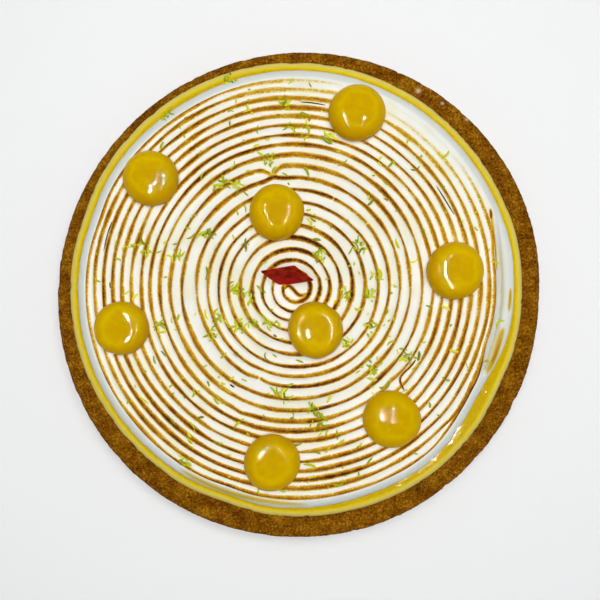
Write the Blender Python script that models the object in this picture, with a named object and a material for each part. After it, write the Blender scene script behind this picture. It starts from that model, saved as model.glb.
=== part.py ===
"""Lemon tart, uncut: a shortcrust case full of lemon curd, a spiral of torched meringue, eight lemon gel
domes, a red plaque and lime zest.

Metres, +Z up. The origin is the middle of the underside, +X is the right and +Y the far side of the tart.
Angles run counter-clockwise from +X. A length along the spiral is counted in turns from its middle.
"""

import math
import random

import bmesh
import bpy
import numpy as np
from mathutils import Vector
from mathutils.bvhtree import BVHTree
from mathutils.geometry import delaunay_2d_cdt

# Gap between neighbouring pieces
GAP = 0.0003

# Pastry case: a 240 mm ring, a little oval, with a wall that is thin at the far left and thick at the front
CASE_RADIUS = 0.1203
CASE_OVAL = 0.0010
CASE_OVAL_TURN = math.radians(48)
# Where the wall bulges or flattens: angle, half width, amount outwards
CASE_LOBES = (
    (math.radians(357), math.radians(14), -0.0010),
    (math.radians(293), math.radians(20), 0.0009),
)
CASE_HEIGHT = 0.020
CASE_FLOOR = 0.004
CASE_DRAFT = 0.0014
CASE_FOOT_ROUND = 0.0015
CASE_RIM_ROUND = 0.0008
RIM_WAVE = 0.00025
RIM_WAVES = 7
RIM_SWELLS = 3
FILLING_RADIUS = 0.1117
FILLING_SHIFT = 0.0029
FILLING_SHIFT_TURN = math.radians(122)
FILLING_OVAL = 0.0006
FILLING_OVAL_TURN = math.radians(115)
FILLING_LOBES = (
    (math.radians(195), math.radians(22), 0.0006),
    (math.radians(15), math.radians(10), 0.0006),
    (math.radians(305), math.radians(18), 0.0006),
    (math.radians(250), math.radians(7), -0.0011),
    (math.radians(335), math.radians(8), -0.0010),
    (math.radians(160), math.radians(7), -0.0008),
)

# Lemon curd: stands proud of the rim with a round bead
CURD_TOP = 0.0226
CURD_BEAD = 0.0032
BEAD_STEPS = 3

# Meringue: its edge leaves a band of curd bare, widest at the front right
MERINGUE_FOOT = CURD_TOP + GAP
BARE_BAND = 0.0045
BARE_LOBES = (
    (math.radians(328), math.radians(17), 0.0037),
    (math.radians(292), math.radians(16), 0.0014),
    (math.radians(122), math.radians(20), 0.0009),
)
# Each row: distance inwards and rise above the foot, then the same where the piping's tail lies outside the edge
EDGE_PROFILE = (
    (0.0005, 0.0000, 0.0005, 0.0000),
    (0.0000, 0.0008, 0.0000, 0.0008),
    (0.0012, 0.0027, 0.0011, 0.0026),
    (0.0022, 0.0036, 0.0031, 0.0036),
    (0.0033, 0.0042, 0.0056, 0.0018),
    (0.0046, 0.0046, 0.0086, 0.0046),
)
TAIL_FROM = math.radians(-25)
TAIL_TIP = math.radians(7)
TAIL_TO = math.radians(24)
TAIL_FADE = math.radians(14)
GROOVE_LEVEL = 0.0276
CREST_DEPTH = 0.0021
CREST_FOOT = 0.0011
CREST_FOOT_DEPTH = 0.35

# Spiral of the crests: radius grows by the pitch each turn, with a swell, a dip and the hand's wander
SPIRAL_CENTRE = (-0.0025, 0.0037)
SPIRAL_START = math.radians(123)
SPIRAL_PITCH = 0.00506
SPIRAL_SWELL = (0.0031, 12.3, 3.8)
SPIRAL_DIP = (0.0009, 3.6, 1.8)
FIRST_TURN = 0.35
LAST_TURN = 20.9
# Each row: turn, how far the crest lies outwards, and how far its ring is shifted right and up
HAND_WANDER = (
    (0.5, -0.0004, 0.0002, -0.0008),
    (3.0, -0.0001, -0.0003, -0.0006),
    (4.5, -0.0003, -0.0004, -0.0001),
    (6.0, 0.0002, -0.0007, 0.0002),
    (7.5, 0.0005, 0.0005, -0.0004),
    (9.0, 0.0000, 0.0005, 0.0007),
    (10.5, 0.0001, -0.0006, 0.0007),
    (12.0, 0.0003, -0.0003, 0.0006),
    (14.0, 0.0001, -0.0001, 0.0006),
    (16.0, 0.0009, -0.0001, 0.0002),
    (18.0, 0.0006, 0.0000, 0.0002),
    (20.0, -0.0006, 0.0003, 0.0001),
)
# Places where a crest bends: angle, radius, half widths along and across, push outwards
CREST_BENDS = (
    (math.radians(101), 0.0525, math.radians(3.5), 0.0022, 0.0012),
    (math.radians(101), 0.0600, math.radians(3.5), 0.0026, -0.0036),
    (math.radians(206), 0.0500, math.radians(24), 0.0030, -0.0009),
    (math.radians(206), 0.0552, math.radians(24), 0.0030, 0.0010),
    (math.radians(340), 0.0980, math.radians(14), 0.0030, -0.0016),
)
# Places where the crests are smoothed away: angle, radius, half widths along and across, share lost
SMOOTHED = (
    (math.radians(58), 0.0985, math.radians(42), 0.0075, 0.85),
    (math.radians(101), 0.0567, math.radians(3.0), 0.0016, 0.80),
    (math.radians(318), 0.0680, math.radians(2.5), 0.0034, 0.90),
    (math.radians(318), 0.0980, math.radians(16), 0.0040, 0.35),
)
SEGMENT = 0.0080
LARGEST_STEP = math.radians(15)
SAME_PLACE = 1e-6

# Lemon gel domes: place, diameter, how oval, and the oval's direction in degrees
DOMES = (
    (0.0276, 0.0874, 0.0274, 0.010, 20),
    (-0.0111, 0.0396, 0.0269, 0.012, 80),
    (-0.0718, 0.0559, 0.0267, 0.008, 140),
    (-0.0857, -0.0163, 0.0262, 0.012, 10),
    (0.0749, 0.0113, 0.0277, 0.010, 60),
    (0.0076, -0.0172, 0.0269, 0.022, 110),
    (0.0444, -0.0602, 0.0278, 0.012, 160),
    (-0.0133, -0.0810, 0.0272, 0.014, 45),
)
DOME_FOOT = 0.0270
DOME_HEIGHT = 0.0112
DOME_WIDEST = 0.0030
DOME_TUCK = 0.90
DOME_FULLNESS = 0.86
DOME_DIMPLE = 0.0006
DOME_DIMPLE_REACH = 0.45
DOME_THREE_SIDED = 0.5
DOME_SIDES = 20
DOME_RINGS = 6

# Red plaque: a thin square that stands on one corner in the meringue
PLAQUE_SIDE = 0.0186
PLAQUE_THICK = 0.0007
PLAQUE_FOOT = (-0.0093, 0.0042, 0.0262)
PLAQUE_LEFT_EDGE = (-0.0087, 0.0060, 0.0143)
PLAQUE_RIGHT_EDGE = (0.0153, 0.0025, 0.0094)

# Lime zest: the largest shreds, fused to the meringue
ZEST_SEED = 11
ZEST_COUNT = 60
ZEST_LENGTH = (0.0026, 0.0058)
ZEST_WIDTH = (0.0005, 0.0009)
ZEST_THICK = 0.0006
ZEST_SINK = 0.00025
ZEST_SPACING = 0.0062
ZEST_INNER = 0.014
ZEST_OUTER = 0.097
ZEST_CLEAR = 0.0022
ZEST_STATIONS = 4
ZEST_BEND = 1.6
ZEST_TAPER = 0.9
# Below 0.5 the shreds crowd towards the rim, above it towards the middle
ZEST_CROWDING = 0.62

# Steps round a ring, and the angles above which an edge stays sharp
RING_STEPS = 72
SHARP_EDGE = math.radians(40)
SHARP_CREST = math.radians(70)


def clear_scene():
    for old in list(bpy.data.objects):
        bpy.data.objects.remove(old, do_unlink=True)


def finish_material(name, colour, roughness):
    material = bpy.data.materials.new(name)
    material.use_nodes = True
    shader = material.node_tree.nodes["Principled BSDF"]
    shader.inputs["Base Color"].default_value = (*colour, 1.0)
    shader.inputs["Roughness"].default_value = roughness
    shader.inputs["Metallic"].default_value = 0.0
    return material


def new_object(name, work, material, sharp=SHARP_EDGE):
    """Object from a bmesh with its faces turned outwards and round stretches shaded smooth."""
    bmesh.ops.recalc_face_normals(work, faces=work.faces)
    mesh = bpy.data.meshes.new(name)
    work.to_mesh(mesh)
    work.free()
    mesh.shade_smooth()
    mesh.set_sharp_from_angle(angle=sharp)
    mesh.materials.append(material)
    piece = bpy.data.objects.new(name, mesh)
    bpy.context.scene.collection.objects.link(piece)
    return piece


def lobe(angle, middle, half_width):
    """Bell curve round the circle, 1 at the middle."""
    away = (angle - middle + math.pi) % math.tau - math.pi
    return math.exp(-((away / half_width) ** 2))


def lobes(angle, rows):
    return sum(amount * lobe(angle, middle, width) for middle, width, amount in rows)


def smoothstep(value):
    value = min(max(value, 0.0), 1.0)
    return value * value * (3 - 2 * value)


def case_radius(angle):
    return CASE_RADIUS + CASE_OVAL * math.cos(2 * (angle - CASE_OVAL_TURN)) + lobes(angle, CASE_LOBES)


def filling_radius(angle):
    """Inner face of the case wall: a circle that sits off centre and is a little oval."""
    shift = FILLING_SHIFT * math.cos(angle - FILLING_SHIFT_TURN)
    oval = FILLING_OVAL * math.cos(2 * (angle - FILLING_OVAL_TURN))
    return FILLING_RADIUS + shift + oval + lobes(angle, FILLING_LOBES)


def meringue_radius(angle):
    return filling_radius(angle) - BARE_BAND - lobes(angle, BARE_LOBES)


def tail_share(angle):
    """1 where the piping's tail lies outside the edge, 0 elsewhere, with a short tip and a long fade."""
    away = (angle + math.pi) % math.tau - math.pi
    return smoothstep((away - TAIL_FROM) / TAIL_TIP) * smoothstep((TAIL_TO - away) / TAIL_FADE)


def edge_row(row):
    """Radius and level of one row of the meringue's edge, as functions of the angle."""
    inwards, rise, tail_inwards, tail_rise = row

    def radius_at(angle):
        share = tail_share(angle)
        return meringue_radius(angle) - inwards * (1 - share) - tail_inwards * share

    def level(angle):
        share = tail_share(angle)
        return MERINGUE_FOOT + rise * (1 - share) + tail_rise * share

    return radius_at, level


def ring_of(work, radius_at, level, steps=RING_STEPS):
    """Ring of vertices: radius_at(angle) from the origin, at a level that is a number or level(angle)."""
    ring = []
    for step in range(steps):
        angle = math.tau * step / steps
        radius = radius_at(angle)
        height = level(angle) if callable(level) else level
        ring.append(work.verts.new((radius * math.cos(angle), radius * math.sin(angle), height)))
    return ring


def join_rings(work, lower, upper):
    count = len(lower)
    for step in range(count):
        after = (step + 1) % count
        work.faces.new((lower[step], lower[after], upper[after], upper[step]))


def turned_body(rows, steps=RING_STEPS):
    """Closed body from rows of (radius_at, level), first row and last row closed by a flat face."""
    work = bmesh.new()
    rings = [ring_of(work, radius_at, level, steps) for radius_at, level in rows]
    for lower, upper in zip(rings, rings[1:]):
        join_rings(work, lower, upper)
    work.faces.new(rings[0])
    work.faces.new(rings[-1])
    return work


def inset(radius_at, amount):
    return lambda angle: radius_at(angle) - amount


def rim_level(angle):
    """Top of the rim: hand-levelled, so it rises and falls a little."""
    return CASE_HEIGHT - RIM_WAVE * (1 + math.sin(RIM_WAVES * angle) * math.cos(RIM_SWELLS * angle))


def make_crust():
    """Pastry case: floor and wall in one piece, draft outside, rounded foot and rim."""
    rows = (
        (inset(case_radius, CASE_DRAFT + CASE_FOOT_ROUND), 0.0),
        (inset(case_radius, CASE_DRAFT), CASE_FOOT_ROUND),
        (case_radius, CASE_HEIGHT - 2 * RIM_WAVE - CASE_RIM_ROUND),
        (inset(case_radius, CASE_RIM_ROUND), rim_level),
        (filling_radius, rim_level),
        (filling_radius, CASE_FLOOR),
    )
    material = finish_material("pastry", (0.30, 0.14, 0.035), 0.85)
    return new_object("crust", turned_body(rows), material)


def make_curd():
    """Curd: fills the case up to the rim and ends in a quarter-round bead above it."""
    side = inset(filling_radius, GAP)
    rows = [(side, CASE_FLOOR + GAP), (side, CASE_HEIGHT)]
    for step in range(1, BEAD_STEPS + 1):
        turn = 0.5 * math.pi * step / BEAD_STEPS
        inwards = GAP + CURD_BEAD * (1 - math.cos(turn))
        rows.append((inset(filling_radius, inwards), CASE_HEIGHT + (CURD_TOP - CASE_HEIGHT) * math.sin(turn)))
    material = finish_material("curd", (0.78, 0.56, 0.06), 0.25)
    return new_object("curd", turned_body(rows), material)


def crest_point(turn):
    """(angle, radius) of the crest about the spiral's centre, from its length in turns."""
    angle = SPIRAL_START + math.tau * turn
    radius = SPIRAL_PITCH * turn
    size, middle, width = SPIRAL_SWELL
    radius += size * math.exp(-(((turn - middle) / width) ** 2))
    size, middle, width = SPIRAL_DIP
    radius -= size * math.exp(-(((turn - middle) / width) ** 2))
    turns, outwards, right, up = zip(*HAND_WANDER)
    radius += float(np.interp(turn, turns, outwards))
    radius += float(np.interp(turn, turns, right)) * math.cos(angle)
    radius += float(np.interp(turn, turns, up)) * math.sin(angle)
    for middle, level, along, across, push in CREST_BENDS:
        radius += push * lobe(angle, middle, along) * math.exp(-(((radius - level) / across) ** 2))
    return angle, radius


def crest_share(angle, radius):
    """How much of the full depth a crest keeps at a place, 0 to 1."""
    share = 1.0
    for middle, level, along, across, lost in SMOOTHED:
        share *= 1 - lost * lobe(angle, middle, along) * math.exp(-(((radius - level) / across) ** 2))
    return share


def spiral_turns():
    """Lengths in turns of the stations along the crest: equal steps, finer in angle near the middle."""
    turn, turns = FIRST_TURN, []
    while turn < LAST_TURN:
        turns.append(turn)
        radius = crest_point(turn)[1]
        turn += min(LARGEST_STEP, SEGMENT / radius) / math.tau
    return turns


def spiral_place(angle, radius):
    return (
        SPIRAL_CENTRE[0] + radius * math.cos(angle),
        SPIRAL_CENTRE[1] + radius * math.sin(angle),
    )


def meringue_rows():
    """Crest line and the two foot lines beside it, as runs of (x, y, z) that stay on top of the meringue."""
    stations = [crest_point(turn) for turn in spiral_turns()]
    shoulder_at = edge_row(EDGE_PROFILE[-1])[0]
    step = math.tau / RING_STEPS
    for offset in (-CREST_FOOT, 0.0, CREST_FOOT):
        run = []
        for angle, crest in stations:
            x, y = spiral_place(angle, crest + offset)
            depth = CREST_DEPTH * crest_share(angle, crest)
            level = GROOVE_LEVEL + depth * (CREST_FOOT_DEPTH if offset else 1.0)
            about = math.atan2(y, x)
            limit = min(shoulder_at(about + side) for side in (-step, 0.0, step)) - 0.5 * CREST_FOOT
            if math.hypot(x, y) < limit:
                run.append((x, y, level))
            elif run:
                yield run
                run = []
        if len(run) > 1:
            yield run


def outside_ring(numbers, flat):
    """True for a triangle between three ring points that lies outside the ring, where the ring is hollow."""
    if None in numbers:
        return False
    first, second, third = (flat[number] for number in sorted(numbers))
    return (second - first).cross(third - second) < 0


def make_meringue_base(material):
    """Meringue without zest: its top is a triangulation of the crest lines, foot lines and shoulder."""
    work = bmesh.new()
    rings = [ring_of(work, *edge_row(row)) for row in EDGE_PROFILE]
    for lower, upper in zip(rings, rings[1:]):
        join_rings(work, lower, upper)
    work.faces.new(rings[0])

    shoulder = rings[-1]
    points = [vert.co.copy() for vert in shoulder]
    edges = [(step, (step + 1) % RING_STEPS) for step in range(RING_STEPS)]
    for run in meringue_rows():
        first = len(points)
        points.extend(Vector(place) for place in run)
        edges.extend((first + step, first + step + 1) for step in range(len(run) - 1))
    flat = [point.to_2d() for point in points]
    places, _, faces, sources, _, _ = delaunay_2d_cdt(flat, edges, [], 1, SAME_PLACE, True)
    verts = []
    ring_number = []
    for place, source in zip(places, sources):
        on_shoulder = [one for one in source if one < RING_STEPS]
        ring_number.append(on_shoulder[0] if on_shoulder else None)
        if on_shoulder:
            verts.append(shoulder[on_shoulder[0]])
            continue
        level = points[source[0]].z if source else GROOVE_LEVEL
        verts.append(work.verts.new((place.x, place.y, level)))
    for face in faces:
        if not outside_ring([ring_number[corner] for corner in face], flat):
            work.faces.new([verts[corner] for corner in face])
    loose = [vert for vert in work.verts if not vert.link_faces]
    bmesh.ops.delete(work, geom=loose, context="VERTS")
    return new_object("meringue", work, material, SHARP_CREST)


def blocked(x, y, reach):
    """True where a dome or the plaque stands within reach."""
    for dome_x, dome_y, diameter, _, _ in DOMES:
        if math.hypot(x - dome_x, y - dome_y) < 0.5 * diameter + reach:
            return True
    return math.hypot(x - PLAQUE_FOOT[0], y - PLAQUE_FOOT[1]) < 2 * reach


def zest_shreds():
    """Shreds as (x, y, heading, length, width, bend), the largest first and evenly spread."""
    draw = random.Random(ZEST_SEED)
    shreds = []
    while len(shreds) < ZEST_COUNT:
        share = len(shreds) / ZEST_COUNT
        radius = ZEST_INNER + (ZEST_OUTER - ZEST_INNER) * draw.random() ** ZEST_CROWDING
        angle = draw.uniform(0, math.tau)
        x, y = spiral_place(angle, radius)
        length = ZEST_LENGTH[1] + (ZEST_LENGTH[0] - ZEST_LENGTH[1]) * share
        if blocked(x, y, 0.5 * length + ZEST_CLEAR):
            continue
        if any(math.hypot(x - other[0], y - other[1]) < ZEST_SPACING for other in shreds):
            continue
        width = draw.uniform(*ZEST_WIDTH)
        shreds.append((x, y, draw.uniform(0, math.tau), length, width, draw.uniform(-ZEST_BEND, ZEST_BEND)))
    return shreds


def make_shred(name, shred, ground, material):
    """Thin wavy strip: rectangular stations along a bent path that follows the meringue's surface."""
    x, y, heading, length, width, bend = shred
    work = bmesh.new()
    stations = []
    for step in range(ZEST_STATIONS):
        along = step / (ZEST_STATIONS - 1) - 0.5
        turned = heading + bend * along
        middle_x = x + length * along * math.cos(heading + 0.5 * bend * along)
        middle_y = y + length * along * math.sin(heading + 0.5 * bend * along)
        half = 0.5 * width * (1.0 - ZEST_TAPER * along * along)
        corners = []
        for side in (1, -1):
            corner_x = middle_x - side * half * math.sin(turned)
            corner_y = middle_y + side * half * math.cos(turned)
            hit = ground.ray_cast(Vector((corner_x, corner_y, 2 * GROOVE_LEVEL)), Vector((0, 0, -1)))[0]
            corners.append((corner_x, corner_y, hit.z - ZEST_SINK))
        left, right = corners
        low = [work.verts.new(left), work.verts.new(right)]
        high = [work.verts.new((cx, cy, cz + ZEST_THICK)) for cx, cy, cz in (right, left)]
        stations.append(low + high)
    for before, after in zip(stations, stations[1:]):
        for side in range(4):
            nxt = (side + 1) % 4
            work.faces.new((before[side], before[nxt], after[nxt], after[side]))
    work.faces.new(stations[0])
    work.faces.new(stations[-1])
    bmesh.ops.triangulate(work, faces=work.faces)
    return new_object(name, work, material)


def fuse(target, operation, tools, name):
    """Applies one Boolean of a group of pieces to the target, then removes the group."""
    group = bpy.data.collections.new(name)
    bpy.context.scene.collection.children.link(group)
    for tool in tools:
        bpy.context.scene.collection.objects.unlink(tool)
        group.objects.link(tool)
        tool.hide_render = True
        tool.display_type = "WIRE"
    modifier = target.modifiers.new(name, "BOOLEAN")
    modifier.operation = operation
    modifier.operand_type = "COLLECTION"
    modifier.collection = group
    modifier.solver = "MANIFOLD"
    bpy.context.view_layer.update()
    graph = bpy.context.evaluated_depsgraph_get()
    result = bpy.data.meshes.new_from_object(target.evaluated_get(graph))
    target.modifiers.remove(modifier)
    target.data = result
    for tool in tools:
        bpy.data.objects.remove(tool, do_unlink=True)
    bpy.data.collections.remove(group)


def dome_body(dome, grow=0.0):
    """Slumped half ball: tucked in at the foot, full at the side, dimpled on top; grow adds a clearance."""
    x, y, diameter, oval, direction = dome
    turn = math.radians(direction)
    radius = 0.5 * diameter + grow
    foot = DOME_FOOT - grow
    top = DOME_HEIGHT + 2 * grow

    def at(share, level):
        def radius_at(angle):
            uneven = math.cos(2 * (angle - turn)) + DOME_THREE_SIDED * math.cos(3 * angle)
            return radius * share * (1 + oval * uneven)

        return radius_at, foot + level

    rows = [at(DOME_TUCK, 0.0), at(1.0, DOME_WIDEST)]
    for step in range(1, DOME_RINGS):
        rise = 0.5 * math.pi * step / DOME_RINGS
        share = math.cos(rise) ** DOME_FULLNESS
        dimple = DOME_DIMPLE * math.exp(-((share / DOME_DIMPLE_REACH) ** 2))
        level = DOME_WIDEST + (top - DOME_WIDEST) * math.sin(rise) - (0.0 if grow else dimple)
        rows.append(at(share, level))
    work = turned_body(rows, DOME_SIDES)
    bmesh.ops.translate(work, verts=work.verts, vec=(x, y, 0.0))
    return work


def make_domes():
    material = finish_material("lemon_gel", (0.66, 0.40, 0.01), 0.12)
    return [new_object(f"dome_{n}", dome_body(dome), material) for n, dome in enumerate(DOMES, 1)]


def plaque_body(grow=0.0):
    """Thin square slab standing on its lowest corner; grow adds a clearance all round."""
    left = Vector(PLAQUE_LEFT_EDGE).normalized()
    right = Vector(PLAQUE_RIGHT_EDGE)
    right = (right - left * right.dot(left)).normalized()
    normal = left.cross(right)
    foot = Vector(PLAQUE_FOOT) - grow * (left + right)
    side = PLAQUE_SIDE + 2 * grow
    half = 0.5 * PLAQUE_THICK + grow
    work = bmesh.new()
    faces = []
    for sign in (-1, 1):
        base = foot + sign * half * normal
        corners = (base, base + side * left, base + side * (left + right), base + side * right)
        faces.append([work.verts.new(corner) for corner in corners])
    join_rings(work, faces[0], faces[1])
    work.faces.new(faces[0])
    work.faces.new(faces[1])
    return work


def make_plaque():
    material = finish_material("red_plaque", (0.30, 0.015, 0.004), 0.25)
    return new_object("plaque", plaque_body(), material)


def make_meringue():
    """Meringue with the largest zest fused on, cut clear of the domes and the plaque."""
    white = finish_material("meringue", (0.86, 0.84, 0.78), 0.55)
    green = finish_material("lime_zest", (0.32, 0.42, 0.03), 0.6)
    meringue = make_meringue_base(white)
    work = bmesh.new()
    work.from_mesh(meringue.data)
    ground = BVHTree.FromBMesh(work)
    shreds = [make_shred(f"shred_{n}", shred, ground, green) for n, shred in enumerate(zest_shreds())]
    work.free()
    fuse(meringue, "UNION", shreds, "zest")
    pockets = [new_object(f"pocket_{n}", dome_body(dome, GAP), white) for n, dome in enumerate(DOMES)]
    pockets.append(new_object("slot", plaque_body(GAP), white))
    fuse(meringue, "DIFFERENCE", pockets, "pockets")
    return meringue


clear_scene()
make_crust()
make_curd()
make_meringue()
make_domes()
make_plaque()
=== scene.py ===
"""Lemon tart with a torched meringue spiral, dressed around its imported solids. Metres, +Z up.

Angles run counter-clockwise from +X. A length along the spiral is counted in turns from its middle.
"""

import bmesh
import bpy
import mathutils
import numpy as np
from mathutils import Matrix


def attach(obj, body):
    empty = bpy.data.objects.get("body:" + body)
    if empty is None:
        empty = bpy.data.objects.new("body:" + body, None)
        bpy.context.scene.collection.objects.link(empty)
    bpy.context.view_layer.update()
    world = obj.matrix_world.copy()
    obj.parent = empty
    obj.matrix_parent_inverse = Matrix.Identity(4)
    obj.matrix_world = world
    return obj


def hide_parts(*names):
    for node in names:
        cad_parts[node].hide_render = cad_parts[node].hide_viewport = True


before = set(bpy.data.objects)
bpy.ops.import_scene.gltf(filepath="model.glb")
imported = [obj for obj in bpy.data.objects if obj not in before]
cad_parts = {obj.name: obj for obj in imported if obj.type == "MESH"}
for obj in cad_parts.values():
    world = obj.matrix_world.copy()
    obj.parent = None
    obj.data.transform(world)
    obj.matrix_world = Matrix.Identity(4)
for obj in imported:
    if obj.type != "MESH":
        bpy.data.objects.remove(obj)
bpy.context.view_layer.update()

MM = 0.001
SAME_PLACE = 1e-6
FULL_TURN, QUARTER_TURN = 2 * np.pi, np.pi / 2

# Large numbers that scramble the places of a random field
SCRAMBLE_PLACE = np.array((73856093, 19349663, 83492791))
SCRAMBLE_SEED, SCRAMBLE_AGAIN = 2654435761, 1274126177

# The case, the curd and the meringue's edge, as in the solids
CASE_RADIUS, CASE_OVAL, CASE_OVAL_TURN = 0.1203, 0.0010, np.radians(48)
CASE_LOBES = ((357, 14, -0.0010), (293, 20, 0.0009))
CASE_HEIGHT, CASE_FLOOR, CASE_DRAFT = 0.020, 0.004, 0.0014
# Pale crumbs on the rim: place and half width in mm
PALE_CRUMBS = ((58.9, 101.2, 1.1), (70.9, 94.9, 0.7), (83.0, 86.9, 0.7))
FOOT_ROUND, RIM_ROUND = 0.0015, 0.0008
# Columns round the case, and rows up its wall and across its rim
CASE_COLUMNS, WALL_ROWS, RIM_ROWS = 1080, 25, 23
# Random relief, here and below: rows of its strength, the size of its lumps in mm, and its seed
CRUMBS, CRUMB_SINK = ((0.15, 2.6, 1), (0.12, 1.3, 2), (0.08, 0.8, 3)), 0.08
# Chips of the outer edge: relief, onset, depth, reach from the edge in mm, and where there are more of them
CHIPS, CHIP_ONSET, CHIP_DEPTH, CHIP_REACH = ((1.0, 4.5, 4),), 0.35, 0.7, 1.5
CHIP_BASE, CHIP_EXTRA = 1.6, ((40, 26, 1.2),)
# Dark baked edges at the wall's top and round the rim, with how much they fade round it; painted shade on the
# rim beside the curd, and the mm over which it fades
DARK_WALL, DARK_RIM, DARK_RIM_FADE, SHADE_BESIDE_CURD, SHADE_BESIDE_CURD_FADE = 0.5, 0.7, 0.3, 0.8, 0.6
FILLING_RADIUS, FILLING_SHIFT, FILLING_SHIFT_TURN = 0.1117, 0.0029, np.radians(122)
FILLING_OVAL, FILLING_OVAL_TURN = 0.0006, np.radians(115)
FILLING_LOBES = (
    (195, 22, 0.0006),
    (15, 10, 0.0006),
    (305, 18, 0.0006),
    (250, 7, -0.0011),
    (335, 8, -0.0010),
    (160, 7, -0.0008),
)
CURD_TOP, CURD_BEAD, GAP = 0.0226, 0.0032, 0.0003
# How far the curd laps over the rim in mm, where its top is flat, and how far it stays under the meringue
CURD_COLUMNS, CURD_LAP = 720, 0.90
CURD_FLAT, CURD_MIDDLE, CURD_CLEAR = 0.086, 0.04, 0.00005
# Random ragged lip, swell of the band, and waves of the top
CURD_RAGGED, CURD_SWELL = ((0.40, 3.6, 11), (0.20, 1.3, 12)), ((0.16, 6.0, 13),)
CURD_WAVES = ((0.10, 6.0, 14),)
MERINGUE_FOOT = CURD_TOP + GAP
BARE_BAND = 0.0045
BARE_LOBES = ((328, 17, 0.0037), (292, 16, 0.0014), (122, 20, 0.0009))
SHOULDER_RUN, SHOULDER_LEVEL = 0.0046, 0.0275
# First guess of the shoulder's distance from the spiral's centre, and how often it is improved
SHOULDER_GUESS, SHOULDER_ROUNDS = 0.100, 6
# How far the crests stay inside the shoulder, and how softly they are kept there
CREST_INSIDE, CREST_BLEND = 0.0006, 0.0006
GROOVE_LEVEL, CREST_DEPTH = 0.0276, 0.0021

# The spiral of the crests
SPIRAL_CENTRE = np.array([-0.0025, 0.0037])
SPIRAL_START = np.radians(123)
SPIRAL_PITCH = 0.00506
# Where the turns lie further out or in: by how much, round which turn, and half width in turns
SPIRAL_SWELLS = ((0.0031, 12.3, 3.8), (-0.0009, 3.6, 1.8))
FIRST_TURN, LAST_TURN, CREST_FADE = 0.98, 20.75, 0.12
# Small waves of a crest's line and of its height: how long a turn is in their own units, and the waves
CREST_WAVE_RUN, CREST_WAVES = 40.0, ((0.14, 1.9, 21), (0.07, 0.6, 22))
CREST_FULL, CREST_WOBBLE_RUN, CREST_WOBBLE = 0.93, 25.0, ((0.10, 1.0, 23),)
# Each row: turn, how far the crest lies outwards, and how far its ring is shifted right and up, in mm
HAND_WANDER = np.array(
    (
        (0.5, -0.4, 0.2, -0.8),
        (3.0, -0.1, -0.3, -0.6),
        (4.5, -0.3, -0.4, -0.1),
        (6.0, 0.2, -0.7, 0.2),
        (7.5, 0.5, 0.5, -0.4),
        (9.0, 0.0, 0.5, 0.7),
        (10.5, 0.1, -0.6, 0.7),
        (12.0, 0.3, -0.3, 0.6),
        (14.0, 0.1, -0.1, 0.6),
        (16.0, 0.9, -0.1, 0.2),
        (18.0, 0.6, 0.0, 0.2),
        (20.0, -0.6, 0.3, 0.1),
    )
)
# Where a crest bends: angle in degrees, radius in mm, half widths along (degrees) and across (mm), push (mm)
CREST_BENDS = (
    (101, 52.5, 3.5, 2.2, 1.2),
    (101, 60.0, 3.5, 2.6, -3.6),
    (206, 50.0, 24, 3.0, -0.9),
    (206, 55.2, 24, 3.0, 1.0),
    (249, 46.5, 5, 2.0, -1.6),
    (247, 66.0, 3, 1.6, 1.0),
    (316, 65.5, 4, 2.0, -0.8),
    (340, 98.0, 14, 3.0, -1.6),
    (322, 97.0, 5, 2.6, 1.3),
)
# Where a crest is smoothed away: angle, radius in mm, half widths along and across, share lost
SMOOTHED = (
    (58, 98.5, 42, 7.5, 0.85),
    (101, 56.5, 2.6, 1.8, 0.90),
    (249, 47.0, 1.6, 1.4, 0.95),
    (315, 68.0, 2.4, 4.2, 1.00),
    (41, 46.0, 0.9, 1.6, 1.00),
    (66, 46.5, 0.9, 1.6, 1.00),
)

# Fine grid of the meringue: stations a turn, and places across from one crest to the next
STATIONS = 470
ACROSS = np.array((0.0, 0.07, 0.17, 0.32, 0.5, 0.68, 0.83, 0.93))
CREST_SHARPNESS = 0.55 * MM
EDGE_STEPS = np.array(
    (0.0, 0.06, 0.13, 0.2, 0.27, 0.34, 0.4, 0.46, 0.53, 0.6, 0.67, 0.74, 0.81, 0.87, 0.93, 0.97, 1.0)
)
EDGE_FULLNESS, EDGE_LIP, EDGE_UNDERCUT = 1.55, 0.0008, 0.0005
# Across a groove: how round the hollow is, from which width in mm it is full, and parts of hollow and fin
HOLLOW_POWER, HOLLOW_WIDTH, HOLLOW_PART, FIN_PART = 2.2, 2.5, 0.42, 0.58
SWIRL_GRAIN, EDGE_GRAIN = ((0.08, 7, 41), (0.03, 1.6, 42)), ((0.16, 4, 43), (0.05, 1.2, 44))
# In mm: half width and rise of the spiral's eye, and how far browned strokes stand up
EYE_WIDTH, EYE_RISE, STROKE_RISE = 0.5, 0.3, 0.5

# End of the piping: a tail that lies outside the swirl's edge at the right
TAIL_FROM, TAIL_TO = np.radians(-25), np.radians(24)
TAIL_TIP, TAIL_FADE = np.radians(4), np.radians(14)
TAIL_ONSET, TAIL_LEAD = np.radians(14), np.radians(2)
TAIL_WIDTH = 0.0050
# The last value is how wide the painted shadow along the tail's crease is, as a share of the slope.
TAIL_CREASE, TAIL_TOP, TAIL_SHADOW_WIDTH = 0.36, 0.62, 0.07
# Height above the foot at the tail: down from the shoulder to the crease, up to the hump, down to the edge
TAIL_SHOULDER, TAIL_DROP, TAIL_DROP_POWER = 0.0046, 0.0030, 1.6
TAIL_CREASE_LEVEL, TAIL_HUMP, TAIL_FALL = 0.0016, 0.0020, 0.0028

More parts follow.
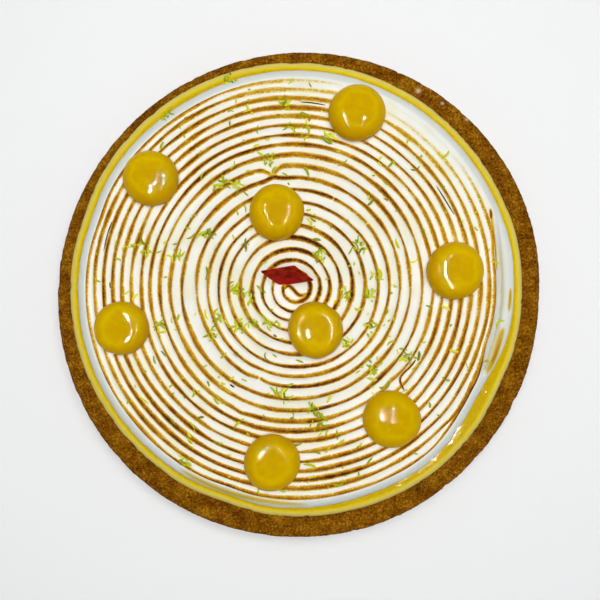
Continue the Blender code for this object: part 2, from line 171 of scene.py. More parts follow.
# Gel domes: place, diameter, how oval, and the oval's direction in degrees, as in the solids
DOMES = (
    (0.0276, 0.0874, 0.0274, 0.010, 20),
    (-0.0111, 0.0396, 0.0269, 0.012, 80),
    (-0.0718, 0.0559, 0.0267, 0.008, 140),
    (-0.0857, -0.0163, 0.0262, 0.012, 10),
    (0.0749, 0.0113, 0.0277, 0.010, 60),
    (0.0076, -0.0172, 0.0269, 0.022, 110),
    (0.0444, -0.0602, 0.0278, 0.012, 160),
    (-0.0133, -0.0810, 0.0272, 0.014, 45),
)
DOME_FOOT, DOME_HEIGHT, DOME_WIDEST = 0.0270, 0.0112, 0.0030
DOME_TUCK, DOME_LUMPS = 0.90, ((0.22, 9, 51), (0.07, 3, 52))
DOME_COLUMNS, DOME_SIDE_ROWS, DOME_TOP_ROWS = 96, 8, 44
# How the meringue gives way: from which share of the radius, fading over which, and how far below the foot
PRESS_FROM, PRESS_FADE, PRESS_CLEAR = 0.88, 0.10, 0.0004
# Top of a dome: depth of its dimple in mm, the dimple's reach as a share of the radius, how square the cap is
DOME_TOP = (0.40, 0.44, 0.66)
DOME_TOPS = {
    4: (0.40, 0.46, 0.46),
    5: (0.80, 0.58, 0.50),
    6: (1.00, 0.62, 0.42),
    7: (-0.25, 0.45, 0.96),
    8: (0.60, 0.50, 0.58),
}
# Bulges of the slumped domes: angle, half width in degrees, and size as a share of the radius
DOME_BULGES = {6: ((35, 12, 0.045), (278, 14, 0.025), (170, 30, 0.015)), 5: ((60, 25, 0.012),)}

# Plaque: a square standing on one corner
PLAQUE_SIDE, PLAQUE_THICK, PLAQUE_BOW = 0.0186, 0.0007, 0.00025
# Columns round it, and the power that makes its corners nearly sharp
PLAQUE_COLUMNS, PLAQUE_SQUARENESS = 128, 24
PLAQUE_FOOT = np.array([-0.0093, 0.0042, 0.0262])
PLAQUE_LEFT_EDGE = np.array([-0.0087, 0.0060, 0.0143])
PLAQUE_RIGHT_EDGE = np.array([0.0153, 0.0025, 0.0094])

# Browning of the crests: base, extra at the middle, and patches as angle, radius in mm, half widths, change
TORCH_BASE, TORCH_MIDDLE, TORCH_MIDDLE_REACH = 0.70, 0.22, 0.034
# Most browning of a crest, and its chance changes: how long a turn is in their own units, and the changes
TORCH_MOST, TORCH_CHANCE_RUN = 1.2, 14.0
TORCH_CHANCE = ((0.30, 1.0, 31), (0.24, 0.3, 32), (0.16, 0.09, 33))
# How far browning spreads from a crest in mm, its random changes, and how it leans to one side of a groove
TORCH_REACH, TORCH_REACH_CHANGE, TORCH_LEAN = 1.18, ((0.50, 13, 45),), ((0.36, 21, 46),)
TORCH_PATCHES = (
    (90, 22, 45, 14, 0.20),
    (150, 26, 30, 12, -0.10),
    (185, 26, 25, 12, -0.08),
    (0, 52, 25, 14, -0.12),
    (25, 50, 22, 12, -0.08),
    (68, 52, 24, 14, 0.10),
    (212, 54, 24, 14, -0.18),
    (335, 52, 25, 14, -0.08),
    (275, 54, 22, 12, 0.10),
    (120, 82, 22, 14, 0.20),
    (95, 88, 14, 10, -0.18),
    (5, 84, 22, 16, -0.18),
    (240, 86, 26, 12, 0.12),
    (310, 82, 24, 12, -0.10),
    (182, 102, 26, 7, -0.30),
    (58, 101, 40, 9, -0.85),
)

# Browning beyond the crests: strength, half width in mm, and a path of places in mm
STROKES = (
    (
        1.00, 0.70, (-7.2, 2.4), (-6.5, 3.9), (-4.9, 4.3), (-2.9, 2.4),
        (-1.4, 0.5), (0.2, -0.6), (1.7, -0.5), (2.9, 0.5),
    ),
    (0.15, 1.7, (-58.0, -85.0), (-49.1, -90.7), (-33.5, -97.4), (-12.9, -101.3), (4.0, -102.4)),
    (0.30, 1.2, (99.4, -16.0), (96.9, -24.5), (94.8, -31.5), (91.2, -38.5)),
    (0.66, 0.50, (98.2, -21.0), (96.0, -28.0), (93.2, -34.5)),
    (0.34, 0.6, (102.8, 2.6), (102.6, -2.7), (102.0, -8.0)),
    (0.95, 0.55, (92.7, 41.0), (92.9, 39.2), (93.1, 36.4)),
    (0.45, 0.45, (93.0, 38.0), (93.9, 30.0), (95.4, 21.5), (96.0, 11.8)),
)

# Loose end of a crest beside a dome: strength, half width and height in mm, and a path of places in mm
LOOSE_RIDGE = (
    0.95, 0.80, 1.3,
    (56.5, -31.5), (54.2, -34.8), (50.6, -37.6), (48.6, -40.2), (48.9, -43.4), (51.0, -46.8),
)
# Columns round it, and how deep its middle is sunk in mm
RIDGE_COLUMNS, RIDGE_SUNK = 12, 0.3

# Slits between piped turns, drawn as dark ribbons that paint the shade inside them: half width and a path of
# places in mm
SLITS = (
    (0.30, (66.3, 52.8), (69.7, 47.5), (72.6, 42.7), (75.0, 38.8)),
    (0.30, (0.2, 93.4), (6.5, 93.0), (12.7, 91.9)),
    (0.28, (-91.0, 35.4), (-93.2, 29.7), (-95.1, 21.0)),
    (0.34, (-92.0, 6.0), (-91.9, 4.6), (-91.8, 3.1)),
    (0.42, (-33.8, -43.7), (-32.8, -44.4), (-31.7, -45.1)),
)
# How far a slit lies above the groove and its half thickness, in mm
SLIT_LIFT, SLIT_THICK = 0.12, 0.08

# Lime zest: clumps as angle in degrees and distance in mm about their own centre
ZEST_SEED, ZEST_STATIONS, ZEST_IN_CLUMP, ZEST_SINGLE = 11, 6, 11, 280
ZEST_SPREAD, ZEST_OUTER, ZEST_THICK, ZEST_CLEAR = 0.0018, 0.101, 0.00034, 0.0012
# Length of the shortest shreds and what the longest have more, widths and lifts in mm, and bends in radians
ZEST_LENGTH, ZEST_LONGER, ZEST_WIDTH, ZEST_LIFT = 1.5, 5.4, (0.64, 1.26), (0.05, 0.45)
ZEST_SMALL_ONES, ZEST_BEND, ZEST_TILT, ZEST_TWIST = 1.9, 3.0, 0.7, 0.8
ZEST_TONE, ZEST_TONE_SPREAD = 0.50, 0.27
# Tint of the meringue: where zest stains it, all over, and in random patches
HAZE_ZEST, HAZE_BASE, HAZE = 0.65, 0.06, ((0.22, 9, 47),)
ZEST_STAIN_WIDTH, ZEST_STAIN_REACH, ZEST_STAIN_SHARE = 0.0013, 0.0030, 0.30
ZEST_CLUMPS_CENTRE = np.array([-0.00125, 0.00263])
ZEST_CLUMPS = (
    (37, 37), (10, 40), (57, 20), (80, 33), (120, 57), (125, 63), (148, 51), (165, 60),
    (180, 29), (188, 24), (207, 46), (212, 34), (217, 27), (232, 21), (195, 68), (200, 42),
    (262, 51), (277, 58), (312, 36), (315, 53), (328, 63), (332, 40), (355, 24), (355, 35),
    (102, 64), (78, 76), (165, 77), (95, 90), (238, 100), (280, 67), (127, 108), (108, 107),
)

# Floor and room
FLOOR_HALF, FLOOR_COLOUR = 2.0, (0.98, 0.98, 0.98, 1)
WORLD_COLOUR, WORLD_STRENGTH = (0.93, 0.97, 1.0, 1), 0.16

# Lights: name, place, side, power, and how many stand in a row; a row shows only in glossy surfaces
LIGHTS = (
    ("overhead", (0.04, 0.10, 0.9), 0.6, 7.3, 1),
    ("left_lamp", (-0.105, -0.003, 0.37), 0.004, 1.6, 9),
    ("right_lamp", (0.095, -0.003, 0.37), 0.004, 1.6, 9),
)
LAMP_SPACING = 0.030

# Places of the colour sockets on a Mix node, and the shader's sockets for light that goes into soft food
MIX_FACTOR, MIX_FIRST, MIX_SECOND, MIX_RESULT = 0, 6, 7, 2
SOFT_SOCKETS = ("Subsurface Weight", "Subsurface Radius", "Subsurface Scale")

# Camera straight above, a little nearer than arm's length
CAMERA_PLACE = (0.0002, -0.0027, 0.368)
CAMERA_LENS = 42.06


def linear(red, green, blue):
    """Colour given as screen values 0 to 255, as the linear values that a shader takes."""
    value = np.array((red, green, blue)) / 255
    low = value / 12.92
    high = ((value + 0.055) / 1.055) ** 2.4
    return tuple(float(part) for part in np.where(value <= 0.04045, low, high)) + (1.0,)


def smoothstep(value):
    """0 below 0, 1 above 1, and 3v² - 2v³ between."""
    value = np.clip(value, 0, 1)
    return value * value * (3 - 2 * value)


def bell(value):
    """Bell curve: exp(-v²)."""
    return np.exp(-(value**2))


def wrapped(angle):
    """The same angle, between half a turn back and half a turn on."""
    return (angle + np.pi) % FULL_TURN - np.pi


def circle(columns):
    """Angles of this many columns, spread evenly over a full turn."""
    return FULL_TURN * np.arange(columns) / columns


def lobe(angle, middle_degrees, width_degrees):
    """Bell curve round the circle: exp(-(distance / half width)²)."""
    return bell(wrapped(angle - np.radians(middle_degrees)) / np.radians(width_degrees))


def patch(angle, radius, middle, level, width, across, amount):
    """An amount that fades as a bell curve round the circle and as another across it, in mm."""
    return amount * lobe(angle, middle, width) * bell((radius / MM - level) / across)


def field(points, size, seed):
    """Smooth random field, -1 to 1: random values at the corners of cubes, blended by 3t² - 2t³."""
    scaled = np.asarray(points) / size
    cell = np.floor(scaled).astype(np.int64)
    part = smoothstep(scaled - cell)
    total = np.zeros(scaled.shape[:-1])
    for corner in np.ndindex(2, 2, 2):
        x, y, z = np.moveaxis((cell + np.array(corner)) * SCRAMBLE_PLACE, -1, 0)
        mixed = x ^ y ^ z ^ (seed + 1) * SCRAMBLE_SEED
        mixed = (mixed ^ mixed >> 13) * SCRAMBLE_AGAIN
        value = ((mixed ^ mixed >> 16) & 0xFFFF) / 32767.5 - 1
        total += value * np.prod(np.where(np.array(corner) == 1, part, 1 - part), axis=-1)
    return total


def grain(points, rows, unit=MM):
    """Sum of random fields: for each row its strength times the field of its size and seed."""
    return sum(strength * field(points, size * unit, seed) for strength, size, seed in rows)


def grain_along(turn, run, rows):
    """Sum of random fields along the spiral: read on a straight line on which a turn is this long."""
    return grain(np.stack((turn * run, 0 * turn, 0 * turn), -1), rows, 1.0)


def new_piece(name, points, faces, material, attributes=None):
    """Mesh object from points and one or more arrays of faces; doubles are merged, faces turned outwards."""
    groups = faces if isinstance(faces, tuple) else (faces,)
    corners = np.concatenate([group.ravel() for group in groups])
    sizes = np.concatenate([np.full(len(group), group.shape[1]) for group in groups])
    mesh = bpy.data.meshes.new(name)
    mesh.vertices.add(len(points))
    mesh.vertices.foreach_set("co", np.asarray(points, np.float32).ravel())
    mesh.loops.add(len(corners))
    mesh.loops.foreach_set("vertex_index", corners.astype(np.int32))
    mesh.polygons.add(len(sizes))
    mesh.polygons.foreach_set("loop_start", (np.cumsum(sizes) - sizes).astype(np.int32))
    for key, values in (attributes or {}).items():
        layer = mesh.attributes.new(key, "FLOAT", "POINT")
        layer.data.foreach_set("value", np.asarray(values, np.float32).ravel())
    mesh.update(calc_edges=True)
    work = bmesh.new()
    work.from_mesh(mesh)
    bmesh.ops.remove_doubles(work, verts=work.verts, dist=SAME_PLACE)
    bmesh.ops.dissolve_degenerate(work, edges=work.edges, dist=0.1 * SAME_PLACE)
    bmesh.ops.recalc_face_normals(work, faces=work.faces)
    work.to_mesh(mesh)
    work.free()
    mesh.shade_smooth()
    mesh.materials.append(material)
    piece = bpy.data.objects.new(name, mesh)
    bpy.context.scene.collection.objects.link(piece)
    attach(piece, "root")
    return piece


def ring_faces(rows, columns):
    """Quads of a grid of rows of vertices whose columns close into a ring."""
    row, column = np.meshgrid(np.arange(rows - 1), np.arange(columns), indexing="ij")
    after = (column + 1) % columns
    low, high = row * columns, (row + 1) * columns
    return np.stack((low + column, low + after, high + after, high + column), -1).reshape(-1, 4)


def tube_faces(rows, columns):
    """Faces of a closed tube: the quads of its rings, and its two flat ends."""
    number = np.arange(rows * columns).reshape(-1, columns)
    return ring_faces(rows, columns), number[[0, -1]]


def ring_piece(name, rings, material, attributes):
    """Piece from rings of points, one ring for each row."""
    rows, columns = rings.shape[:2]
    return new_piece(name, rings.reshape(-1, 3), ring_faces(rows, columns), material, attributes)


def polar(radius, angle, level):
    """Points from radius, angle and level: arrays of one shape, or single values."""
    radius, angle, level = np.broadcast_arrays(radius, angle, level)
    return np.stack((radius * np.cos(angle), radius * np.sin(angle), level), -1)


class Rings:
    """Rows of a ring grid: each has a radius, a level and marks, given once or for every angle."""

    def __init__(self, columns):
        self.angle = circle(columns)
        self.rows, self.marks = [], []

    def add(self, radius, level, *marks):
        self.rows.append(polar(radius, self.angle, level))
        self.marks.append([mark + 0 * self.angle for mark in marks])

    def grids(self):
        """Points of all rows, and one grid for each kind of mark."""
        return np.array(self.rows), *np.moveaxis(np.array(self.marks), 1, 0)


def grid_normals(points):
    """Unit normals of a ring grid, from the differences to the neighbours along both parameters."""
    along = np.gradient(points, axis=0)
    round_ring = np.roll(points, -1, axis=1) - np.roll(points, 1, axis=1)
    normal = np.cross(round_ring, along)
    return normal / np.maximum(np.linalg.norm(normal, axis=-1, keepdims=True), 1e-12)


def lobes(angle, rows):
    return sum(amount * lobe(angle, middle, width) for middle, width, amount in rows)


def case_radius(angle):
    return CASE_RADIUS + CASE_OVAL * np.cos(2 * (angle - CASE_OVAL_TURN)) + lobes(angle, CASE_LOBES)


def filling_radius(angle):
    shift = FILLING_SHIFT * np.cos(angle - FILLING_SHIFT_TURN)
    oval = FILLING_OVAL * np.cos(2 * (angle - FILLING_OVAL_TURN))
    return FILLING_RADIUS + shift + oval + lobes(angle, FILLING_LOBES)


def meringue_radius(angle):
    return filling_radius(angle) - BARE_BAND - lobes(angle, BARE_LOBES)


class Nodes:
    """Short way to add and link shader nodes of one material. Colours are screen values, 0 to 255."""

    def __init__(self, name):
        self.material = bpy.data.materials.new(name)
        self.material.use_nodes = True
        self.tree = self.material.node_tree
        self.shader = self.tree.nodes["Principled BSDF"]
        coordinates = self.tree.nodes.new("ShaderNodeTexCoord")
        self.object_place = coordinates.outputs["Object"]

    def finish(self, roughness, specular, *soft):
        """Sets roughness, specular level and, for soft food, amount, reach and scale of light inside."""
        values = {"Roughness": roughness, "Specular IOR Level": specular, **dict(zip(SOFT_SOCKETS, soft))}
        for key, value in values.items():
            self.shader.inputs[key].default_value = value

    def link(self, source, target):
        self.tree.links.new(source, target)

    def noise(self, scale, detail, roughness=0.5, distortion=0.0):
        node = self.tree.nodes.new("ShaderNodeTexNoise")
        values = {"Scale": scale, "Detail": detail, "Roughness": roughness, "Distortion": distortion}
        for key, value in values.items():
            node.inputs[key].default_value = value
        self.link(self.object_place, node.inputs["Vector"])
        return node.outputs["Fac"]

    def attribute(self, name):
        node = self.tree.nodes.new("ShaderNodeAttribute")
        node.attribute_name = name
        return node.outputs["Fac"]

    def math(self, operation, first, second, clamp=False):
        node = self.tree.nodes.new("ShaderNodeMath")
        node.operation = operation
        node.use_clamp = clamp
        for socket, value in zip(node.inputs, (first, second)):
            if isinstance(value, bpy.types.NodeSocket):
                self.link(value, socket)
            else:
                socket.default_value = value
        return node.outputs["Value"]

    def plus(self, first, second, clamp=False):
        return self.math("ADD", first, second, clamp)

    def times(self, first, second):
        return self.math("MULTIPLY", first, second)

    def centred(self, noise):
        """The noise, moved so that it lies evenly above and below zero."""
        return self.math("SUBTRACT", noise, 0.5)

    def ramp(self, factor, *stops):
        """Colour ramp; a stop is its place and its red, green and blue."""
        node = self.tree.nodes.new("ShaderNodeValToRGB")
        points = node.color_ramp.elements
        while len(points) < len(stops):
            points.new(0.5)
        for point, (place, *colour) in zip(points, stops):
            point.position = place
            point.color = linear(*colour)
        self.link(factor, node.inputs["Fac"])
        return node.outputs["Color"]

    def specks(self, noise, low, high):
        """White where the noise is above both values, black where it is below both."""
        return self.ramp(noise, (low, 0, 0, 0), (high, 255, 255, 255))

    def mix(self, factor, first, second, blend="MIX"):
        """Blend of a colour that the nodes give with one given as screen values."""
        node = self.tree.nodes.new("ShaderNodeMix")
        node.data_type = "RGBA"
        node.blend_type = blend
        self.link(factor, node.inputs[MIX_FACTOR])
        self.link(first, node.inputs[MIX_FIRST])
        node.inputs[MIX_SECOND].default_value = linear(*second)
        return node.outputs[MIX_RESULT]

    def bump(self, height, distance, strength=1.0):
        node = self.tree.nodes.new("ShaderNodeBump")
        node.inputs["Distance"].default_value = distance
        node.inputs["Strength"].default_value = strength
        self.link(height, node.inputs["Height"])
        self.link(node.outputs["Normal"], self.shader.inputs["Normal"])

    def colour(self, socket):
        self.link(socket, self.shader.inputs["Base Color"])


def pastry_material():
    """Baked shortcrust: caramel brown, mottled, with pale crumb flecks, darker baked edges, and painted shade
    beside the curd and in crumb pits.
    """
    pastry = Nodes("baked_pastry")
    crumb = pastry.noise(900, 4, 0.7, 0.6)
    tone = pastry.plus(pastry.times(pastry.noise(160, 3, 0.6), 0.35), pastry.times(crumb, 0.65))
    brown = pastry.ramp(tone, (0.38, 72, 35, 0), (0.46, 104, 59, 1), (0.53, 130, 80, 4), (0.62, 172, 122, 22))
    flecks = pastry.specks(pastry.noise(1100, 3, 0.6, 1.2), 0.60, 0.66)
    flecked = pastry.mix(pastry.times(flecks, 0.7), brown, (184, 138, 44))
    # The edge mark darkens baked edges and also paints shade beside the curd and in the pits between crumbs.
    darkened_and_shaded = pastry.mix(pastry.times(pastry.attribute("edge"), 0.7), flecked, (54, 24, 0))
    pastry.colour(pastry.mix(pastry.attribute("pale"), darkened_and_shaded, (214, 186, 140)))
    pastry.finish(0.8, 0.002)
    pastry.bump(crumb, 0.3 * MM, 0.8)
    return pastry.material


def curd_material():
    """Set lemon curd: smooth and glossy, paler at the outer lip where it is thin and a sheen is painted, and
    deeper yellow towards the meringue as painted shade.
    """
    curd = Nodes("set_curd")
    lip_sheen_and_shade = curd.plus(curd.attribute("lip_sheen_and_shade"), curd.times(curd.noise(420, 2), 0.25))
    # Ramp: deep yellow where the mark is low, next to the meringue, as painted shade; pale at the lip, partly
    # thin curd and partly a painted sheen.
    curd.colour(
        curd.ramp(lip_sheen_and_shade, (0.06, 200, 166, 2), (0.30, 222, 192, 12), (0.58, 228, 208, 72), (0.95, 226, 208, 118))
    )
    curd.finish(0.07, 0.12, 0.25, (0.004, 0.002, 0.0005), 0.5)
    curd.bump(curd.plus(curd.noise(800, 0), curd.times(curd.noise(280, 1), 1.4)), 0.16 * MM)
    return curd.material


def meringue_material():
    """Satin meringue: white in the grooves, torched golden beside the crests and dark brown on them;
    painted glints on the browning, painted shade on the outer slope, painted shadow along the tail's crease.

    heat = torch * (1 - distance to the crest / reach), or the scorch where that is more, broken up by noise
    and read through a colour ramp.
    """
    meringue = Nodes("torched_meringue")
    fine = meringue.noise(1050, 3, 0.65)
    patchy = meringue.times(meringue.centred(meringue.noise(260, 2)), 0.35)
    away = meringue.math("DIVIDE", meringue.attribute("crest_gap"), meringue.attribute("reach"))
    near = meringue.math("MAXIMUM", meringue.math("SUBTRACT", 1.0, away), 0.0)
    heat = meringue.times(meringue.attribute("torch"), near)
    shown = meringue.math("MINIMUM", meringue.times(heat, 4.0), 1.0)
    uneven = meringue.times(meringue.plus(meringue.centred(fine), patchy), shown)
    heat = meringue.math("MAXIMUM", heat, meringue.attribute("scorch"))
    heat = meringue.plus(heat, uneven, clamp=True)
    browned = meringue.ramp(
        heat,
        (0.00, 240, 240, 234),
        (0.06, 236, 226, 180),
        (0.15, 222, 186, 52),
        (0.32, 206, 152, 4),
        (0.52, 174, 114, 1),
        (0.70, 128, 68, 0),
        (0.86, 86, 36, 0),
        (1.00, 52, 18, 0),
    )
    # Painted glints: small pale golden specks on the browned crests.
    painted_glints = meringue.times(meringue.specks(meringue.noise(2600, 1), 0.70, 0.76), shown)
    with_painted_glints = meringue.mix(painted_glints, browned, (232, 200, 130))
    tinted = meringue.mix(meringue.attribute("haze"), with_painted_glints, (232, 222, 120), "MULTIPLY")
    # Painted shade: the slope mark makes the outer slope greyer.
    shaded = meringue.mix(meringue.attribute("slope"), tinted, (236, 239, 238), "MULTIPLY")
    # Painted shadow along the tail's crease, tinted olive.
    meringue.colour(meringue.mix(meringue.times(meringue.attribute("painted_crease_shadow"), 0.75), shaded, (168, 150, 70)))
    meringue.finish(0.5, 0.01, 0.12, (0.002, 0.0018, 0.0015), 0.4)
    meringue.bump(fine, 0.12 * MM, 0.5)
    return meringue.material


def zest_material():
    """Fresh lime zest: from dark olive to bright yellow-green by shred."""
    zest = Nodes("lime_zest")
    speckle = zest.math("SUBTRACT", zest.times(zest.noise(1800, 2), 0.35), 0.17)
    tone = zest.plus(zest.attribute("tone"), speckle, clamp=True)
    zest.colour(
        zest.ramp(tone, (0.00, 120, 128, 0), (0.30, 154, 162, 0), (0.60, 196, 203, 0), (1.00, 228, 226, 60))
    )
    zest.finish(0.6, 0.02, 0.05, (0.001, 0.0015, 0.0004), 0.3)
    return zest.material


def gel_material():
    """Lemon gel: deep yellow, wet and slightly clouded, with tiny dimples that break up its highlights; its
    tone changes from top to rim, with painted light on the side towards 60 degrees.
    """
    gel = Nodes("lemon_gel")
    tone = gel.plus(gel.attribute("crown_tone_and_painted_light"), gel.times(gel.centred(gel.noise(190, 3, 0.55)), 1.3))
    gel.colour(
        gel.ramp(tone, (0.00, 212, 166, 0), (0.35, 214, 174, 0), (0.60, 219, 184, 0), (1.00, 210, 167, 0))
    )
    gel.finish(0.04, 0.06, 0.60, (0.004, 0.0035, 0.0002), 0.8)
    gel.bump(gel.plus(gel.noise(720, 0), gel.noise(340, 0)), 0.035 * MM)
    return gel.material


def plaque_material():
    """Thin red decoration, satin, slightly uneven in colour."""
    plaque = Nodes("red_plaque")
    cloud = plaque.noise(240, 3, 0.6)
    patches = plaque.ramp(cloud, (0.38, 118, 2, 0), (0.50, 168, 14, 0), (0.62, 190, 44, 0))
    plaque.colour(plaque.mix(plaque.attribute("corner"), patches, (200, 2, 0)))
    plaque.finish(0.5, 0.02)
    plaque.bump(cloud, 0.15 * MM, 0.4)
    return plaque.material


def slit_material():
    """Shadow in a slit: nearly black, slightly uneven."""
    dark = Nodes("slit_shadow")
    dark.colour(dark.ramp(dark.noise(900, 2), (0.40, 20, 16, 8), (0.62, 58, 46, 26)))
    dark.finish(0.9, 0.0)
    return dark.material


def make_case():
    """Pastry case as rings: radius and level follow the wall's profile, and crumb noise pushes each point in.

    Each row of the grid is one ring; rows run from the middle of the underside, up the outside, over the
    rim and down the inside to the middle of the floor. The marks are how crumbly it is there and how dark:
    dark baked edges, with painted shade beside the curd and in the pits between crumbs.
    """
    rings = Rings(CASE_COLUMNS)
    outer, inner = case_radius(rings.angle), filling_radius(rings.angle)
    top = CASE_HEIGHT - RIM_ROUND
    rings.add(0.0, 0.0, 0.0, 0.0)
    for share in (0.4, 0.8, 0.95):
        rings.add(share * (outer - CASE_DRAFT - FOOT_ROUND), 0.0, 0.0, 0.0)
    for turn in np.linspace(0, QUARTER_TURN, 4):
        inwards = CASE_DRAFT + FOOT_ROUND * (1 - np.sin(turn))
        rings.add(outer - inwards, FOOT_ROUND * (1 - np.cos(turn)), 0.3 + 0.2 * turn, 0.0)
    for share in np.linspace(0, 1, WALL_ROWS)[1:]:
        level = FOOT_ROUND + share * (top - FOOT_ROUND)
        rings.add(outer - CASE_DRAFT * (1 - share), level, 1.0, DARK_WALL * share**8)
    for turn in np.linspace(0, QUARTER_TURN, 5)[1:]:
        dark = DARK_RIM - DARK_RIM_FADE * turn
        rings.add(outer - RIM_ROUND * (1 - np.cos(turn)), top + RIM_ROUND * np.sin(turn), 1.0, dark)
    for share in np.linspace(0, 1, RIM_ROWS)[1:]:
        across = outer - RIM_ROUND + share * (inner - outer + RIM_ROUND)
        # Painted shade: the rim darkens towards the curd, which stands above it.
        dark = SHADE_BESIDE_CURD * np.exp(-((across - inner) / MM) / SHADE_BESIDE_CURD_FADE)
        rings.add(across, CASE_HEIGHT, 1.0 - 0.6 * share**6, dark)
    for level in (0.0185, 0.015, CASE_FLOOR):
        rings.add(inner, level, 0.0, 1.0)
    rings.add(0.5 * inner, CASE_FLOOR, 0.0, 0.0)
    rings.add(0.0, CASE_FLOOR, 0.0, 0.0)

    points, crumbly, edge = rings.grids()
    crumbs = grain(points, CRUMBS)
    from_edge = (np.hypot(points[..., 0], points[..., 1]) - outer) / (CHIP_REACH * MM)
    ragged = CHIP_BASE + lobes(rings.angle, CHIP_EXTRA)
    chips = ragged * np.maximum(grain(points, CHIPS) - CHIP_ONSET, 0) * bell(from_edge)
    depth = (crumbs - CRUMB_SINK - CHIP_DEPTH * chips) * crumbly * MM
    points = points + grid_normals(points) * depth[..., None]
    points[..., 2] = np.maximum(points[..., 2], 0.0)
    # Painted shade: the pits between crumbs are made darker.
    edge = np.clip(edge + 0.6 * np.maximum(-crumbs - 0.12, 0), 0, 1)
    pale = np.zeros(edge.shape)
    for x, y, size in PALE_CRUMBS:
        away = np.hypot(points[..., 0] - x * MM, points[..., 1] - y * MM) / (size * MM)
        pale = np.maximum(pale, bell(away) * (points[..., 2] > 0.5 * CASE_HEIGHT))
    attributes = {"edge": edge, "pale": pale}
    piece = ring_piece("pastry_case", points, pastry_material(), attributes)
    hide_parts("crust")


def make_curd_piece():
    """Curd as rings: a side hidden in the case, a round bead above the rim, a flat top under meringue."""
    rings = Rings(CURD_COLUMNS)
    side = filling_radius(rings.angle) - GAP
    round_place = polar(1.0, rings.angle, 0.0) * FILLING_RADIUS
    ragged, swell = np.maximum(grain(round_place, CURD_RAGGED), 0), grain(round_place, CURD_SWELL)
    rings.add(0.0, CASE_FLOOR + GAP, 1.0)
    rings.add(0.6 * side, CASE_FLOOR + GAP, 1.0)
    for share in np.linspace(0, 1, 5):
        rings.add(side, CASE_FLOOR + GAP + share * (CASE_HEIGHT - 2 * GAP - CASE_FLOOR - GAP), 1.0)
    for turn in np.linspace(0, QUARTER_TURN, 14):
        level = CASE_HEIGHT - GAP * (1 - np.sin(turn)) + (CURD_TOP - CASE_HEIGHT) * np.sin(turn) ** 1.15
        radius = side - CURD_BEAD * (1 - np.cos(turn)) + np.cos(turn) * (CURD_LAP - ragged) * MM
        # Lip mark: 1 on the bead's outer side, where the curd is thin and paler with a painted sheen; 0 on
        # its top, next to the meringue, where painted shade makes it deeper.
        rings.add(radius, level + swell * MM * np.sin(turn), np.cos(turn) ** 0.8)
    for share in np.linspace(0, 1, 12)[1:]:
        radius = (1 - share) * (side - CURD_BEAD) + share * CURD_FLAT
        waves = grain(polar(radius, rings.angle, 0.0), CURD_WAVES)
        rings.add(radius, CURD_TOP + (swell * (1 - share) + waves * share * (1 - share)) * MM, -0.2 * share)
    rings.add(CURD_MIDDLE, CURD_TOP, 0.0)
    rings.add(0.0, CURD_TOP, 0.0)
    points, lip_sheen_and_shade = rings.grids()
    points[..., 2] = np.minimum(points[..., 2], MERINGUE_FOOT - CURD_CLEAR)
    piece = ring_piece("lemon_curd", points, curd_material(), {"lip_sheen_and_shade": lip_sheen_and_shade})
    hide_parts("curd")


def crest_radius(turn):
    """Radius of the crest about the spiral's centre, from its length in turns.

    The pitch times the turns, plus the swells, the hand's wander, small waves and the named bends.
    """
    angle = SPIRAL_START + FULL_TURN * turn
    radius = SPIRAL_PITCH * turn
    for size, middle, width in SPIRAL_SWELLS:
        radius = radius + size * bell((turn - middle) / width)
    out, right, up = (np.interp(turn, HAND_WANDER[:, 0], HAND_WANDER[:, column]) for column in (1, 2, 3))
    radius = radius + (out + right * np.cos(angle) + up * np.sin(angle)) * MM
    radius = radius + grain_along(turn, CREST_WAVE_RUN, CREST_WAVES) * MM * np.clip(turn, 0, 1)
    for *place, push in CREST_BENDS:
        radius = radius + patch(angle, radius, *place, push * MM)
    limit = shoulder_reach(angle)
    inside = limit - CREST_INSIDE
    softened = 0.5 * (radius + inside - np.sqrt((radius - inside) ** 2 + CREST_BLEND**2))
    radius = np.where(turn > LAST_TURN, limit, softened)
    return np.where(turn <= 0, 0.0, np.maximum(radius, 0.0))


def shoulder_reach(angle):
    """Distance from the spiral's centre to the meringue's shoulder: where the ray meets the shoulder line."""
    reach = np.full_like(angle, SHOULDER_GUESS)
    for _ in range(SHOULDER_ROUNDS):
        x = SPIRAL_CENTRE[0] + reach * np.cos(angle)
        y = SPIRAL_CENTRE[1] + reach * np.sin(angle)
        about = np.arctan2(y, x)
        reach = reach + meringue_radius(about) - edge_run(about) - np.hypot(x, y)
    return reach


def tail_window(angle):
    """How much the piping's tail shows at an angle about the origin: 0 outside, 1 along it, a round tip."""
    away = wrapped(angle)
    return smoothstep((away - TAIL_FROM) / TAIL_TIP) * smoothstep((TAIL_TO - away) / TAIL_FADE)


def edge_run(angle):
    """How far the meringue's shoulder lies inside its edge: it gives way slowly before the tail starts."""
    away = wrapped(angle)
    onset = smoothstep((away - TAIL_FROM + TAIL_LEAD) / TAIL_ONSET)
    return SHOULDER_RUN + TAIL_WIDTH * onset * smoothstep((TAIL_TO - away) / TAIL_FADE)


def crest_share(turn, radius):
    """How much of the full depth a crest keeps, 0 to 1."""
    angle = SPIRAL_START + FULL_TURN * turn
    share = smoothstep((LAST_TURN - turn) / CREST_FADE) * smoothstep((turn - FIRST_TURN) / CREST_FADE)
    for *place, lost in SMOOTHED:
        share = share * (1 - patch(angle, radius, *place, lost))
    return share * (CREST_FULL + grain_along(turn, CREST_WOBBLE_RUN, CREST_WOBBLE))


def torch_strength(turn, radius):
    """How dark a crest is browned: a base, more at the middle, the named patches, and chance changes."""
    angle = SPIRAL_START + FULL_TURN * turn
    strength = TORCH_BASE + TORCH_MIDDLE * bell(radius / TORCH_MIDDLE_REACH)
    for *place, change in TORCH_PATCHES:
        strength = strength + patch(angle, radius, *place, change)
    return np.clip(strength * (1 + grain_along(turn, TORCH_CHANCE_RUN, TORCH_CHANCE)), 0, TORCH_MOST)


